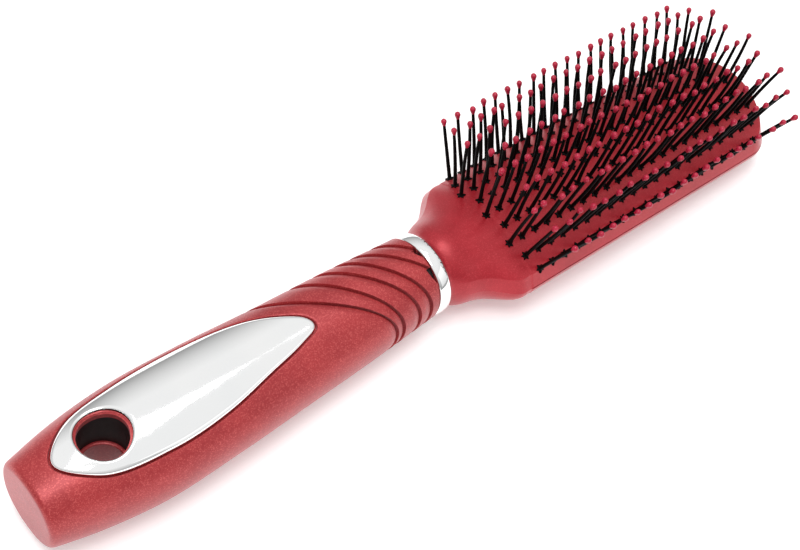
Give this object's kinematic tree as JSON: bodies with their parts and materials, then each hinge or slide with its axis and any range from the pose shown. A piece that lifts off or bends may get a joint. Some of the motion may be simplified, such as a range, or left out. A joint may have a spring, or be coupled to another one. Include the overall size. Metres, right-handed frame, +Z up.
{
  "type": "hairbrush",
  "caption": "Half-round styling hairbrush with ball-tipped pins in rows, a grooved grip, a bright ring and a teardrop plate around the hanging hole.",
  "frame": {"origin": "middle of the bottom of the whole brush's box, on the table that it lies on", "axes": "+X along the brush from the butt towards the tip of the head, +Y across it, +Z up, the way the pins point; the brush lies on the handle's belly and the back of the head"},
  "size_m": [0.2236, 0.0484, 0.0375],
  "materials": {
    "grip_red": "soft-touch moulding with fine pearl flake, deep warm red",
    "head_red": "satin pearl red moulded plastic",
    "core_black": "plain black moulding, seen only inside the hole and at the ring",
    "plated": "bright plated, mirror-like with a bevelled edge",
    "pin_black": "glossy black nylon",
    "tip_red": "glossy raspberry red resin"
  },
  "bodies": {
    "root": {"handle_grip": "grip_red", "handle_core": "core_black", "handle_plate": "plated", "neck_ring": "plated", "head_front_shell": "head_red", "head_back_cover": "head_red", "pin_row_1": "pin_black", "pin_row_2": "pin_black", "pin_row_3": "pin_black", "pin_row_4": "pin_black", "pin_row_5": "pin_black", "pin_row_6": "pin_black", "pin_row_7": "pin_black", "pin_row_8": "pin_black", "pin_row_9": "pin_black", "ball_tips_row_1": "tip_red", "ball_tips_row_2": "tip_red", "ball_tips_row_3": "tip_red", "ball_tips_row_4": "tip_red", "ball_tips_row_5": "tip_red", "ball_tips_row_6": "tip_red", "ball_tips_row_7": "tip_red", "ball_tips_row_8": "tip_red", "ball_tips_row_9": "tip_red"}
  },
  "joints": []
}
